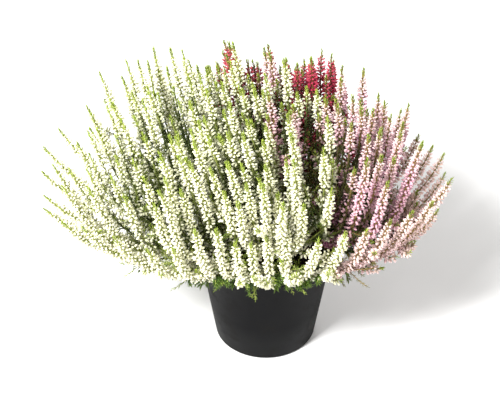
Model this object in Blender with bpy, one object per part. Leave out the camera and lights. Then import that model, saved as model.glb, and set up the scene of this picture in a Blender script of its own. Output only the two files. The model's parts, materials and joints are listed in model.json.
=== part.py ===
"""A potted heather: white, pale pink and crimson bud heather planted together in one nursery pot.

Metres, +Z up. The origin is the middle of the pot's flat base. The white blooms face -Y, the
pink ones +X and the crimson ones +Y.
"""

import math
import random

import bmesh
import bpy
import numpy as np
from mathutils import Vector, geometry, noise

# Pot
POT_HEIGHT = 0.112
RIM_RADIUS = 0.065
RIM_BAND = 0.010
RIM_OVERHANG = 0.0028
BASE_RADIUS = 0.0465
BASE_CHAMFER = 0.0015
RIM_CHAMFER = 0.0008
WALL = 0.0014
FLOOR_LIFT = 0.003
FOOT_WIDTH = 0.005
FOOT_SLOPE = 0.002
PAD_RADIUS = 0.028
POT_SIDES = 32
DRAIN_COUNT = 6
DRAIN_RADIUS = 0.0035
DRAIN_SIDES = 6

# Soil
SOIL_BELOW_RIM = 0.010
SOIL_TOP = POT_HEIGHT - SOIL_BELOW_RIM
SOIL_BUMP = 0.0016
SOIL_BUMP_SCALE = 60.0
SEAT_GAP = 0.0003
SOIL_SIDES = 20
HOLE_SIDES = 3

# Clump: where the shoots stand and the way that they lean
CLUMP_RADIUS = 0.040
SPRAY_COUNT = 48
SPIKES_PER_SPRAY = 4
OUTERMOST_BASE = 0.97
SPIKE_SPACING = 0.122
SPACING_ROUNDS = 60
STRAY_PINKS = ((0.28, -0.18, 0.06), (0.14, 0.45, 0.06))
CRIMSON_FROM = 0.36
CRIMSON_LEFT = -0.25
PINK_FROM = 0.48
MIDDLE_LENGTH = 0.180
SIDE_LENGTH = 0.194
FRONT_LENGTH = 0.160
LEFT_LONGER = 0.03
SOIL_LEAN = math.radians(44)
RIM_LEAN = math.radians(84)
TIP_LEAN = math.radians(20)
FRONT_LEAN = 0.54
BACK_LEAN = 0.70
RIGHT_LEAN = 0.80
RIM_SHARE = 0.22
TURNED_SHARE = 0.80
LEFT_DRIFT = 0.12
PARTING = 0.011
PARTING_PLACE = 0.034
PARTING_WIDTH = 0.010
PARTING_REACH = 0.06
SWAY = 0.007
SWAY_SCALE = 11.0
SWAY_SHIFTS = (0.0, 31.7, 68.3)
ROOTED_DEPTH = 0.014
ROOT_RADIUS = 0.0015
SEED = 11

# Spikes: a core that the buds stand out of
STEM_RADIUS = 0.0015
LEAFY_RADIUS = 0.0026
BLOOM_RADIUS = 0.0058
TIP_RADIUS = 0.0020
BUD_PITCH = 0.0162
LEAFY_PITCH = 0.016
BLOOM_FROM = 0.40
EDGE_BLOOM_FROM = 0.22
BLOOM_TO = 0.95
BRANCH_SHARES = (0.0, 0.10, 0.16, 0.22)
SPREAD_SHARE = 0.45
STEM_SIDES = 3
PATH_STEPS = 17

# Low spikes, which the outer sprays send out over the rim
LOW_FROM = 0.80
LOW_PER_SPRAY = 3
LOW_BRANCH = 0.10
LOW_FRONT_REACH = 0.091
LOW_LEFT_REACH = 0.142
LOW_RIGHT_REACH = 0.130
LOW_HEIGHT = POT_HEIGHT - 0.006
LOW_LENGTH = (0.074, 0.106)
LOW_FRONT_LEAN = math.radians(2)
LOW_LEFT_LEAN = math.radians(36)
LOW_RIGHT_LEAN = math.radians(18)
LOW_BLOOM_FROM = 0.32

# What strands keep clear of each other, and how near those of one spray still count as branching
SPRAY_GAP = 0.0009
BRANCHING = 0.006
THINNEST = 0.0004

GOLDEN_ANGLE = math.pi * (3 - math.sqrt(5))

COLOURS = {
    "pot": ((0.012, 0.012, 0.014), 0.55),
    "soil": ((0.035, 0.022, 0.014), 0.95),
    "white": ((0.80, 0.83, 0.62), 0.7),
    "pink": ((0.72, 0.42, 0.55), 0.7),
    "crimson": ((0.50, 0.02, 0.08), 0.7),
}


def clear_scene():
    for obj in list(bpy.data.objects):
        bpy.data.objects.remove(obj)


def material(name):
    colour, roughness = COLOURS[name]
    made = bpy.data.materials.new(name)
    made.use_nodes = True
    shader = made.node_tree.nodes["Principled BSDF"]
    shader.inputs["Base Color"].default_value = (*colour, 1)
    shader.inputs["Roughness"].default_value = roughness
    shader.inputs["Metallic"].default_value = 0
    return made


def mesh_object(name, points, faces):
    mesh = bpy.data.meshes.new(name)
    mesh.from_pydata([tuple(p) for p in points], [], faces)
    mesh.update()
    obj = bpy.data.objects.new(name, mesh)
    bpy.context.scene.collection.objects.link(obj)
    return obj


def turned(name, profile, sides, finish):
    """A closed solid turned round Z from a profile of (radius, height) that starts and ends on the axis."""
    mesh = bpy.data.meshes.new(name)
    form = bmesh.new()
    line = [form.verts.new((radius, 0, height)) for radius, height in profile]
    edges = [form.edges.new(pair) for pair in zip(line, line[1:])]
    bmesh.ops.spin(form, geom=line + edges, cent=(0, 0, 0), axis=(0, 0, 1), steps=sides, angle=2 * math.pi)
    bmesh.ops.remove_doubles(form, verts=form.verts, dist=1e-6)
    bmesh.ops.recalc_face_normals(form, faces=form.faces)
    form.to_mesh(mesh)
    form.free()
    mesh.materials.append(finish)
    obj = bpy.data.objects.new(name, mesh)
    bpy.context.scene.collection.objects.link(obj)
    return obj


def cutter(middle, low, high, radius, sides):
    """An upright prism from low to high round a point, to cut a hole with."""
    place = (middle.x, middle.y, (low + high) / 2)
    bpy.ops.mesh.primitive_cylinder_add(vertices=sides, radius=radius, depth=high - low, location=place)
    return bpy.context.object


def join_or_cut(obj, others, operation):
    """Applies one Boolean of a collection of helper objects to obj, and removes the helpers."""
    helpers = bpy.data.collections.new(obj.name + "_helpers")
    bpy.context.scene.collection.children.link(helpers)
    for other in others:
        other.users_collection[0].objects.unlink(other)
        helpers.objects.link(other)
    boolean = obj.modifiers.new("join", "BOOLEAN")
    boolean.operand_type = "COLLECTION"
    boolean.collection = helpers
    boolean.operation = operation
    boolean.solver = "MANIFOLD"
    bpy.context.view_layer.objects.active = obj
    bpy.ops.object.modifier_apply(modifier=boolean.name)
    for other in others:
        bpy.data.objects.remove(other)
    bpy.data.collections.remove(helpers)


# Pot and soil


def wall_radius(height):
    """The outer radius of the pot's tapered wall at a height."""
    top = RIM_RADIUS - RIM_OVERHANG
    return BASE_RADIUS + (top - BASE_RADIUS) * height / (POT_HEIGHT - RIM_BAND)


def pot_profile():
    """From the middle of the base, out and up over the rim, and down inside to the floor."""
    foot = BASE_RADIUS - BASE_CHAMFER
    band = POT_HEIGHT - RIM_BAND
    inside_floor = FLOOR_LIFT + WALL
    return [
        (0, 0),
        (PAD_RADIUS, 0),
        (PAD_RADIUS + FOOT_SLOPE, FLOOR_LIFT),
        (foot - FOOT_WIDTH - FOOT_SLOPE, FLOOR_LIFT),
        (foot - FOOT_WIDTH, 0),
        (foot, 0),
        (wall_radius(BASE_CHAMFER), BASE_CHAMFER),
        (wall_radius(band), band),
        (RIM_RADIUS, band + 0.5 * RIM_OVERHANG),
        (RIM_RADIUS, POT_HEIGHT - RIM_CHAMFER),
        (RIM_RADIUS - RIM_CHAMFER, POT_HEIGHT),
        (RIM_RADIUS - WALL, POT_HEIGHT),
        (RIM_RADIUS - 1.5 * WALL, band + WALL),
        (wall_radius(band) - WALL, band - 0.5 * WALL),
        (wall_radius(inside_floor) - WALL, inside_floor),
        (0, inside_floor),
    ]


def make_pot():
    """The pot: a tapered wall with a rim, on a foot ring and a middle pad with drain holes between them."""
    pot = turned("pot", pot_profile(), POT_SIDES, material("pot"))
    ring = (PAD_RADIUS + BASE_RADIUS - BASE_CHAMFER - FOOT_WIDTH) / 2
    drains = []
    for k in range(DRAIN_COUNT):
        turn = 2 * math.pi * k / DRAIN_COUNT
        middle = Vector((ring * math.cos(turn), ring * math.sin(turn), 0))
        drains.append(cutter(middle, -WALL, FLOOR_LIFT + 3 * WALL, DRAIN_RADIUS, DRAIN_SIDES))
    join_or_cut(pot, drains, "DIFFERENCE")
    return pot


def soil_height(x, y):
    """The top of the soil, with its low crumbs and hollows."""
    return SOIL_TOP + SOIL_BUMP * noise.noise(Vector((x, y, 0)) * SOIL_BUMP_SCALE)


def make_soil(roots):
    """The soil, which fills the pot up to below the rim and has a hole where each spray's root stands."""
    floor = FLOOR_LIFT + WALL + SEAT_GAP
    side = WALL + 2 * SEAT_GAP
    profile = [(0, floor), (wall_radius(floor) - side, floor), (wall_radius(SOIL_TOP) - side, SOIL_TOP)]
    profile += [(CLUMP_RADIUS * 0.9, SOIL_TOP), (CLUMP_RADIUS * 0.45, SOIL_TOP), (0, SOIL_TOP)]
    soil = turned("soil", profile, SOIL_SIDES, material("soil"))
    for vertex in soil.data.vertices:
        if vertex.co.z > 0.5 * SOIL_TOP:
            vertex.co.z = soil_height(vertex.co.x, vertex.co.y)
    hole = (ROOT_RADIUS + SEAT_GAP) / math.cos(math.pi / HOLE_SIDES)
    depth = SOIL_TOP - ROOTED_DEPTH - SEAT_GAP
    holes = [cutter(root, depth, POT_HEIGHT, hole, HOLE_SIDES) for root in roots]
    join_or_cut(soil, holes, "DIFFERENCE")
    return soil


# How the clump grows. A place in the clump is a point (u, v) of the unit disc.


def smooth(share):
    share = min(1.0, max(0.0, share))
    return share * share * (3 - 2 * share)


def eased(share):
    """Quick at first and slow at the end, as a shoot bends away from its stem."""
    share = min(1.0, max(0.0, share))
    return share * (2 - share)


def lean(u, v, share):
    """A shoot's angle from upright: it climbs over the rim, reaches out and then turns up."""
    rho = math.hypot(u, v)
    low = SOIL_LEAN + (RIM_LEAN - SOIL_LEAN) * smooth(share / RIM_SHARE)
    turned = smooth((share - RIM_SHARE) / (TURNED_SHARE - RIM_SHARE))
    sideways = u * u / max(rho * rho, 1e-9)
    side_lean = RIGHT_LEAN if u > 0 else 1.0
    own_lean = FRONT_LEAN if v < 0 else BACK_LEAN
    spread = rho * (own_lean + (side_lean - own_lean) * sideways)
    return spread * (low * (1 - turned) + TIP_LEAN * rho * rho * turned)


def parted(place, free):
    """The place moved aside from the parting that opens in front between the white and the pink shoots."""
    aside = PARTING * free * smooth(-place.y / PARTING_REACH)
    return place + Vector((aside * math.tanh((place.x - PARTING_PLACE) / PARTING_WIDTH), 0, 0))


def grown(u, v, share):
    """Where a shoot at that place in the clump is at that share of its length."""
    rho = math.hypot(u, v)
    length = MIDDLE_LENGTH + (SIDE_LENGTH - MIDDLE_LENGTH) * u * u + (FRONT_LENGTH - MIDDLE_LENGTH) * v * v
    length *= 1 - LEFT_LONGER * u
    steps = 12
    out = CLUMP_RADIUS * rho
    up = 0.0
    for k in range(steps):
        angle = lean(u, v, share * (k + 0.5) / steps)
        out += math.sin(angle) * length * share / steps
        up += math.cos(angle) * length * share / steps
    turn = math.atan2(v, u)
    place = Vector((out * math.cos(turn), out * math.sin(turn), SOIL_TOP + up))
    free = smooth(share / 0.5)
    place.x -= LEFT_DRIFT * up * free
    spot = place * SWAY_SCALE
    sway = Vector([noise.noise(spot + Vector((shift, 0, 0))) for shift in SWAY_SHIFTS])
    return parted(place, free) + sway * SWAY * free


def clump_layout():
    """The place of each spray in the clump, and the places of its spikes' tips, pushed evenly apart."""
    draw = random.Random(SEED)
    bases = []
    tips = []
    for k in range(SPRAY_COUNT):
        rho = OUTERMOST_BASE * math.sqrt((k + 0.5) / SPRAY_COUNT)
        base = Vector((rho * math.cos(k * GOLDEN_ANGLE), rho * math.sin(k * GOLDEN_ANGLE)))
        bases.append(base)
        start = draw.uniform(0, 2 * math.pi)
        for j in range(SPIKES_PER_SPRAY):
            angle = start + 2 * math.pi * j / SPIKES_PER_SPRAY
            tips.append(base + 0.5 * SPIKE_SPACING * Vector((math.cos(angle), math.sin(angle))))
    tips = np.array(tips)
    for _ in range(SPACING_ROUNDS):
        away = tips[:, None] - tips[None]
        gap = np.sqrt((away**2).sum(-1)) + np.eye(len(tips))
        push = np.clip(SPIKE_SPACING - gap, 0, None) / gap
        np.fill_diagonal(push, 0)
        tips += 0.25 * (away * push[..., None]).sum(1)
        rho = np.sqrt((tips**2).sum(1))
        tips *= (np.minimum(rho, 1.0) / rho)[:, None]
    return bases, tips.reshape(SPRAY_COUNT, SPIKES_PER_SPRAY, 2)


def colour_of(u, v):
    """Crimson at the back, pink on the right and white elsewhere, with two pink sprays among them."""
    for stray_u, stray_v, radius in STRAY_PINKS:
        if math.hypot(u - stray_u, v - stray_v) < radius:
            return "pink"
    if v > CRIMSON_FROM and u > CRIMSON_LEFT:
        return "crimson"
    if u > PINK_FROM:
        return "pink"
    return "white"


def between(start, end, part):
    return start[0] + (end[0] - start[0]) * part, start[1] + (end[1] - start[1]) * part


def spike_path(base, tip, branch, end):
    """The points of a spike from where it leaves the spray's stem to its tip."""
    places = []
    for k in range(PATH_STEPS + 1):
        share = branch + (end - branch) * k / PATH_STEPS
        places.append(grown(*between(base, tip, eased((share - branch) / SPREAD_SHARE)), share))
    return places


def along(places, distance):
    """The point that far along a line of points, and the line's direction there."""
    for a, b in zip(places, places[1:]):
        step = (b - a).length
        if distance <= step:
            break
        distance -= step
    direction = (b - a).normalized()
    return a + direction * min(distance, step), direction


def length_of(places):
    return sum((b - a).length for a, b in zip(places, places[1:]))


def spike_radius(share, bloom_from):
    """The radius of a spike at a share of its length: leafy below, full of buds, then a green tip."""
    if share < bloom_from:
        return STEM_RADIUS + (LEAFY_RADIUS - STEM_RADIUS) * smooth((share - 0.15) / 0.15)
    if share < BLOOM_TO:
        inside = (share - bloom_from) / (BLOOM_TO - bloom_from)
        swell = 0.78 + 0.22 * smooth(inside / 0.15)
        taper = 1 - 0.38 * smooth((inside - 0.45) / 0.55)
        return BLOOM_RADIUS * swell * taper
    return TIP_RADIUS


def spike_rings(places, branch, end, bloom_from):
    """[centre, direction, radius] of each ring of a spike, close together where it blooms."""
    whole = length_of(places)
    rings = []
    distance = 0.0
    while distance < whole - 0.6 * BUD_PITCH:
        share = branch + (end - branch) * distance / whole
        centre, direction = along(places, distance)
        rings.append([centre, direction, spike_radius(share / end, bloom_from)])
        distance += BUD_PITCH if share / end > bloom_from - 0.05 else LEAFY_PITCH
    return rings


def low_turns(bases):
    """The directions of each outer spray's low spikes, spaced evenly round the pot."""
    outer = {k: math.atan2(base.y, base.x) for k, base in enumerate(bases) if base.length > LOW_FROM}
    step = 2 * math.pi / (len(outer) * LOW_PER_SPRAY)
    turn = sum(outer.values()) / len(outer) - math.pi + 0.5 * step
    turns = {}
    for k in sorted(outer, key=outer.get):
        turns[k] = [turn + step * j for j in range(LOW_PER_SPRAY)]
        turn += step * LOW_PER_SPRAY
    return turns


def low_strand(base, stem, turn, length):
    """A low spike: it leaves a spray's stem inside the pot, lies out over the rim and turns up."""
    start = grown(*between(base, stem, eased(LOW_BRANCH / SPREAD_SHARE)), LOW_BRANCH)
    outward = Vector((math.cos(turn), math.sin(turn), 0))
    sideways = outward.x**2
    side_reach = LOW_RIGHT_REACH if outward.x > 0 else LOW_LEFT_REACH
    corner = outward * (LOW_FRONT_REACH + (side_reach - LOW_FRONT_REACH) * sideways)
    corner.z = LOW_HEIGHT
    side_lean = LOW_RIGHT_LEAN if outward.x > 0 else LOW_LEFT_LEAN
    angle = LOW_FRONT_LEAN + (side_lean - LOW_FRONT_LEAN) * sideways
    tip = corner + (outward * math.sin(angle) + Vector((0, 0, math.cos(angle)))) * length
    places = []
    for k in range(PATH_STEPS + 1):
        part = k / PATH_STEPS
        place = start * (1 - part) ** 2 + corner * (2 * part * (1 - part)) + tip * part**2
        places.append(parted(place, part))
    count = round(length_of(places) / BUD_PITCH)
    rings = []
    for k in range(count):
        centre, direction = along(places, length_of(places) * k / count)
        rings.append([centre, direction, spike_radius(k / count, LOW_BLOOM_FROM)])
    return {"foot": start, "rings": rings[1:], "apex": places[-1], "turn": 0.4}


def nearest_inside(rings, place):
    """The point nearest to a place on the middle line of a strand's rings, which is inside the strand."""
    points = []
    for low, high in zip(rings, rings[1:]):
        part = geometry.intersect_point_line(place, low[0], high[0])[1]
        points.append(low[0].lerp(high[0], min(1.0, max(0.0, part))))
    return min(points, key=lambda point: (point - place).length)


def column(foot, rings, apex, turn):
    """A three-sided column whose rings are each turned by half a side, so that every corner is a bud.

    It starts flat on its first ring, or in a point where it has a foot, and it ends in a point."""
    points = []
    for k, (centre, direction, radius) in enumerate(rings):
        across = direction.cross(Vector((0.31, 0.22, 0.92))).normalized()
        other = direction.cross(across)
        for j in range(STEM_SIDES):
            angle = turn + (2 * j + k) * math.pi / STEM_SIDES
            points.append(centre + (across * math.cos(angle) + other * math.sin(angle)) * radius)
    points.append(apex)
    faces = []
    if foot is None:
        faces.append(tuple(reversed(range(STEM_SIDES))))
    else:
        points.append(foot)
        faces += [((j + 1) % STEM_SIDES, j, len(points) - 1) for j in range(STEM_SIDES)]
    for k in range(len(rings) - 1):
        low = k * STEM_SIDES
        high = low + STEM_SIDES
        for j in range(STEM_SIDES):
            after = (j + 1) % STEM_SIDES
            faces.append((low + j, low + after, high + j))
            faces.append((high + j, low + after, high + after))
    last = (len(rings) - 1) * STEM_SIDES
    for j in range(STEM_SIDES):
        faces.append((last + j, last + (j + 1) % STEM_SIDES, last + STEM_SIDES))
    return mesh_object("strand", points, faces)


def thin_where_crowded(sprays):
    """Takes strands in where they would come nearer to each other than the gap they keep.

    Strands of one spray may touch only close to where they branch."""
    strands = [s for spray in sprays for s in spray]
    rings = [ring for s in strands for ring in s["rings"]]
    spray_of = np.array([k for k, spray in enumerate(sprays) for s in spray for _ in s["rings"]])
    strand_of = np.array([k for k, s in enumerate(strands) for _ in s["rings"]])
    starts = np.array([ring[0] for ring in rings])
    ends = np.array([place for s in strands for place in [r[0] for r in s["rings"][1:]] + [s["apex"]]])
    widths = np.array([ring[2] for ring in rings])
    spans = ends - starts
    squared = (spans**2).sum(1)
    for k, ring in enumerate(rings):
        for part in (0.0, 0.25, 0.5, 0.75):
            point = starts[k] + spans[k] * part
            nearest = starts + spans * np.clip(((point - starts) * spans).sum(1) / squared, 0, 1)[:, None]
            gap = np.sqrt(((point - nearest) ** 2).sum(1))
            branching = (spray_of == spray_of[k]) & (gap < BRANCHING)
            gap[branching | (strand_of == strand_of[k])] = 1.0
            allowed = float(((gap - SPRAY_GAP) * widths[k] / (widths[k] + widths)).min())
            ring[2] = min(ring[2], max(THINNEST, allowed))
            after = rings[min(k + 1, len(rings) - 1)]
            if part > 0 and np.allclose(after[0], ends[k]):
                after[2] = min(after[2], max(THINNEST, allowed))


def grow():
    """Every spray's strands, each with its foot, its rings, its apex and their turn, and its colour."""
    draw = random.Random(SEED + 1)
    bases, tips = clump_layout()
    turns = low_turns(bases)
    sprays = []
    for k, (base, own_tips) in enumerate(zip(bases, tips)):
        strands = []
        stem = own_tips[0]
        bloom_from = BLOOM_FROM + (EDGE_BLOOM_FROM - BLOOM_FROM) * base.length**2
        for branch, tip in zip(BRANCH_SHARES, own_tips):
            end = draw.uniform(0.86, 1.06)
            start = between(base, stem, eased(branch / SPREAD_SHARE))
            places = spike_path(start, tip, branch, end)
            rings = spike_rings(places, branch, end, bloom_from)
            turn = draw.uniform(0, 2)
            strands.append({"foot": places[0], "rings": rings[1:], "apex": places[-1], "turn": turn})
        for low_turn in turns.get(k, ()):
            strands.append(low_strand(base, stem, low_turn, draw.uniform(*LOW_LENGTH)))
        root = strands[0]
        for depth in (0.0, ROOTED_DEPTH):
            root["rings"].insert(0, [root["foot"] - Vector((0, 0, depth)), Vector((0, 0, 1)), ROOT_RADIUS])
        root["foot"] = None
        for strand in strands[1:]:
            strand["foot"] = nearest_inside(root["rings"], strand["foot"])
        sprays.append(strands)
    thin_where_crowded(sprays)
    return sprays, [colour_of(*base) for base in bases]


def make_sprays(sprays, colours):
    finishes = {colour: material(colour) for colour in ("white", "pink", "crimson")}
    counts = dict.fromkeys(finishes, 0)
    for strands, colour in zip(sprays, colours):
        counts[colour] += 1
        made = [column(**strand) for strand in strands]
        spray = made[0]
        spray.name = f"{colour}_spray_{counts[colour]:02d}"
        spray.data.materials.append(finishes[colour])
        join_or_cut(spray, made[1:], "UNION")


def main():
    clear_scene()
    sprays, colours = grow()
    make_pot()
    make_soil([strands[0]["rings"][0][0] for strands in sprays])
    make_sprays(sprays, colours)


main()
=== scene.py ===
"""The looks of the potted heather: buds, needle leaves, stems, peat and a moulded pot.

Metres, in the frame of the CAD. The sprays grow by the same rule as in the CAD, so that each
finer spray stands where its solid does.
"""

import json
import math
import random
from collections import namedtuple

import bmesh
import bpy
import numpy as np
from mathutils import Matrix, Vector, noise

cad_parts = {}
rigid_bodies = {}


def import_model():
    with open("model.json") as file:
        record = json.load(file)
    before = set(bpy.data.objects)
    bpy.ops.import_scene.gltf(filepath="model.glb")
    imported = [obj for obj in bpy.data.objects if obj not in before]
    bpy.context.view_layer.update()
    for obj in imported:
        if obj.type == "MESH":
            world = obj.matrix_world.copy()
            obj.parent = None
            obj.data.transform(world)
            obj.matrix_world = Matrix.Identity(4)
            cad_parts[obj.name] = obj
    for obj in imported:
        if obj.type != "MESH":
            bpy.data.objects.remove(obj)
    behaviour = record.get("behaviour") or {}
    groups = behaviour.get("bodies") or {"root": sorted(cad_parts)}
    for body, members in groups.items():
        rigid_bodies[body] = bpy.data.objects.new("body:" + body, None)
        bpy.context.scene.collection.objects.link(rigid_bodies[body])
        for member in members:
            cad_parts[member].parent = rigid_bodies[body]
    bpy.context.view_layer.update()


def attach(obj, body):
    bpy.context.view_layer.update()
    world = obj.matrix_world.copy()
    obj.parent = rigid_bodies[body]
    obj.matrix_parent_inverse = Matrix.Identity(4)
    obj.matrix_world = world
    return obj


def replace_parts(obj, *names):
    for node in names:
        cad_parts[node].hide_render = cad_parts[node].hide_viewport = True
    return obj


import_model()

# Pot and soil
POT_HEIGHT = 0.112
RIM_RADIUS = 0.065
RIM_BAND = 0.010
RIM_OVERHANG = 0.0028
BASE_RADIUS = 0.0465
WALL = 0.0014
FLOOR_LIFT = 0.003
FOOT_WIDTH = 0.005
FOOT_SLOPE = 0.002
BASE_CHAMFER = 0.0015
PAD_RADIUS = 0.028
DRAIN_COUNT = 6
DRAIN_RADIUS = 0.0035
SOIL_TOP = POT_HEIGHT - 0.010

# Clump: where the shoots stand and the way that they lean
CLUMP_RADIUS = 0.040
SPRAY_COUNT = 48
SPIKES_PER_SPRAY = 4
OUTERMOST_BASE = 0.97
SPIKE_SPACING = 0.122
SPACING_ROUNDS = 60
SPACING_PUSH = 0.25
STRAY_PINKS = ((0.28, -0.18, 0.06), (0.14, 0.45, 0.06))
CRIMSON_FROM = 0.36
CRIMSON_LEFT = -0.25
PINK_FROM = 0.48
MIDDLE_LENGTH = 0.180
SIDE_LENGTH = 0.194
FRONT_LENGTH = 0.160
LEFT_LONGER = 0.03
SOIL_LEAN = math.radians(44)
RIM_LEAN = math.radians(84)
TIP_LEAN = math.radians(20)
FRONT_LEAN = 0.54
BACK_LEAN = 0.70
RIGHT_LEAN = 0.80
RIM_SHARE = 0.22
TURNED_SHARE = 0.80
LEFT_DRIFT = 0.12
PARTING = 0.011
PARTING_PLACE = 0.034
PARTING_WIDTH = 0.010
PARTING_REACH = 0.06
SWAY = 0.007
SWAY_SCALE = 11.0
SWAY_SHIFTS = (0.0, 31.7, 68.3)
FREE_FROM = 0.5
LEAN_STEPS = 12
SPIKE_ENDS = (0.86, 1.06)
SEED = 11
BLOOM_FROM = 0.40
EDGE_BLOOM_FROM = 0.22
BLOOM_TO = 0.95
BRANCH_SHARES = (0.0, 0.10, 0.16, 0.22)
SPREAD_SHARE = 0.45
PATH_STEPS = 34
GOLDEN_ANGLE = math.pi * (3 - math.sqrt(5))

# Low spikes, which the outer sprays send out over the rim
LOW_FROM = 0.80
LOW_PER_SPRAY = 3
LOW_BRANCH = 0.10
LOW_FRONT_REACH = 0.091
LOW_LEFT_REACH = 0.142
LOW_RIGHT_REACH = 0.130
LOW_HEIGHT = POT_HEIGHT - 0.006
LOW_LENGTH = (0.074, 0.106)
LOW_FRONT_LEAN = math.radians(2)
LOW_LEFT_LEAN = math.radians(36)
LOW_RIGHT_LEAN = math.radians(18)
LOW_BLOOM_FROM = 0.32
LOW_BLOOM_SPREAD = 0.10
PALE_AGE = 0.90

# Buds, and how far each strays from its even place, turn, rise and width
BUD_LENGTH = (0.0041, 0.0056)
BUD_WIDTH = 0.0024
WHORL_PITCH = 0.0037
BUDS_PER_WHORL = 6
BUD_RISE = math.radians(16)
TOP_BUD_RISE = math.radians(38)
TOP_BUDS_FROM = 0.86
TOP_BUD_LOSS = 0.30
LOW_BUDS_TO = 0.12
LOW_BUD_SIZE = 0.80
BUD_PLACE_SPREAD = 0.14
BUD_TURN_SPREAD = 0.16
BUD_RISE_SPREAD = 0.16
BUD_WIDTH_SPREAD = 0.07

# Needle leaves, in pairs: ages run from 0 on old wood to 1 at a tip, and widths are shares of the length
Leaves = namedtuple("Leaves", "length pitch rise top_rise stand ages")
STEM_LEAVES = Leaves(
    length=0.0032,
    pitch=0.0021,
    rise=math.radians(52),
    top_rise=math.radians(52),
    stand=0.0005,
    ages=(0.0, 0.5),
)
SHOOT_LEAVES = STEM_LEAVES._replace(ages=(0.1, 0.5))
SPRIG_LEAVES = STEM_LEAVES._replace(ages=(0.1, 0.4))
TUFT_LEAVES = STEM_LEAVES._replace(length=0.0054, pitch=0.0010, stand=0.0003, ages=(0.0, 0.22))
BRACTS = Leaves(
    length=0.0031,
    pitch=0.0023,
    rise=math.radians(62),
    top_rise=math.radians(62),
    stand=0.0004,
    ages=(0.6, 0.75),
)
TIP_LEAVES = Leaves(
    length=0.0042,
    pitch=0.0010,
    rise=math.radians(58),
    top_rise=math.radians(84),
    stand=0.0006,
    ages=(0.9, 1.0),
)
LEAF_WIDTH = 0.34375
LEAF_DEPTH = 0.24
LEAVES_CLOSE_FROM = 0.3
LEAVES_SHORTEN_FROM = 0.7
TOP_LEAF_LOSS = 0.3
LEAF_PLACE_SPREAD = 0.5
LEAF_TURN_SPREAD = 0.22
LEAF_RISE_SPREAD = 0.12
LEAF_LENGTH_SPREAD = 0.12
LEAF_INSET = 0.001
TIP_OVERLAP = 0.002
LEAFY_FROM = 0.10
LOWEST_LEAF = 0.004

# Stems, side shoots and their twigs: radii at the foot and the top, and where they end
STEM_FOOT = 0.0011
STEM_TOP = 0.0007
BRANCH_FOOT = 0.8 * STEM_FOOT
STEM_END = 0.985
TWIG_END = 0.96
SHOOT_RADII = (0.0005, 0.0003)
SHOOT_AGES = (0.4, 0.8)
SHOOT_LENGTH = (0.018, 0.034)
SHOOT_FROM = 0.18
SHOOT_TO = 0.50
SHOOTS_PER_SPIKE = 4
LOWEST_SHOOT = 0.002
SHOOT_OUT = 0.75
SHOOT_ALONG = 0.65
SHOOT_BEND = 0.25
FALLEN_BEND = 0.3
SHOOT_POINTS = 7

# Short flowering sprigs: one half way up each spike, and more low on the outer ones over the rim
SIDE_SPRIG_LENGTH = (0.016, 0.030)
SIDE_SPRIG_FROM = 0.36
SIDE_SPRIG_TO = 0.68
SPRIGS_PER_LOW_SPIKE = 3
SPRIG_LENGTH = (0.020, 0.042)
SPRIG_FROM = 0.12
SPRIG_TO = 0.55
SPRIG_BLOOM_FROM = 0.30
SPRIG_BLOOM_TO = 0.86
SPRIG_RADII = (0.0006, 0.0004)
SPRIG_AGES = (0.5, 1.0)
SPRIG_SPREAD = math.radians(85)
SPRIG_RISE = (-0.05, 0.5)
SPRIG_TURN_UP = (0.1, 0.7)

# Where the clump is so dense that few buds open and the leaves grow larger; its buds, leaves and stems get
# painted shade there
SIGHT = 0.045
BARE_STEPS = 9
OPEN_SIDED = 0.24
BURIED_SIDED = 0.03
BURIED_LOSS = 1.0
BURIED_LEAF = 0.6
TIP_SHADE = 0.3

# Leafy tufts that the low spikes hang over the rim
TUFTS_PER_SPIKE = 9
TUFT_LENGTH = (0.009, 0.019)
TUFT_FROM = 0.12
TUFT_TO = 0.42
TUFT_RISE = 0.35
TUFT_FALL = (-0.2, 1.0)
TUFT_SPREAD = math.radians(60)

# Small forms of the pot
POT_SIDES = 128
RIM_ROUND = 0.0009
RIM_CREASE = 0.0002
DRAIN_SIDES = 24
DRILL_DEPTH = 0.01
SHARP_EDGE = math.radians(50)

# The peat's surface and its loose crumbs
SOIL_SIDES = 96
SOIL_RINGS = 22
SOIL_CLEARANCE = 0.0005
SOIL_DEPTH = 0.03
SOIL_TAPER = 0.9
MOUND_HEIGHT = 0.0014
MOUND_SCALE = 60
CLOD_HEIGHT = 0.0013
CLOD_SCALE = 260
CLOD_FALLOFF = 0.6
CLOD_STEP = 2.2
CLOD_LAYERS = 4
CRUMB_SEED = 77
CRUMB_COUNT = 900
CRUMB_REACH = 0.0565
CRUMB_SIZE = (0.0009, 0.0039)
CRUMB_STRETCH = (0.7, 1.3)
CRUMB_LIFT = 0.0004

# The photograph's view: its direction and distance, with the whole pot in the frame
VIEW_TARGET = (-0.0145, 0.0, 0.152)
VIEW_ELEVATION = math.radians(38.5)
VIEW_DISTANCE = 1.6
LENS = 128
SENSOR = 36

# Stage, and each light's name, place, size and power
FLOOR_SIZE = 14
LIGHTS = (
    ("key", (-0.9, -1.1, 1.7), 0.5, 94),
    ("fill", (1.4, -0.9, 0.9), 1.4, 8),
    ("back", (0.3, 1.5, 1.3), 1.2, 14),
)
LIGHT_TARGET = (0, 0, 0.15)
WORLD_COLOUR = (1.0, 0.985, 0.96)
WORLD_STRENGTH = 0.41


# Shader maths


class Made:
    """What a node gives. Python's operators on it add Math nodes."""

    def __init__(self, finish, socket):
        self.finish = finish
        self.socket = socket

    def __add__(self, other):
        return self.finish.maths("ADD", self, other)

    def __radd__(self, other):
        return self.finish.maths("ADD", other, self)

    def __mul__(self, other):
        return self.finish.maths("MULTIPLY", self, other)

    def __rmul__(self, other):
        return self.finish.maths("MULTIPLY", other, self)


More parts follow.
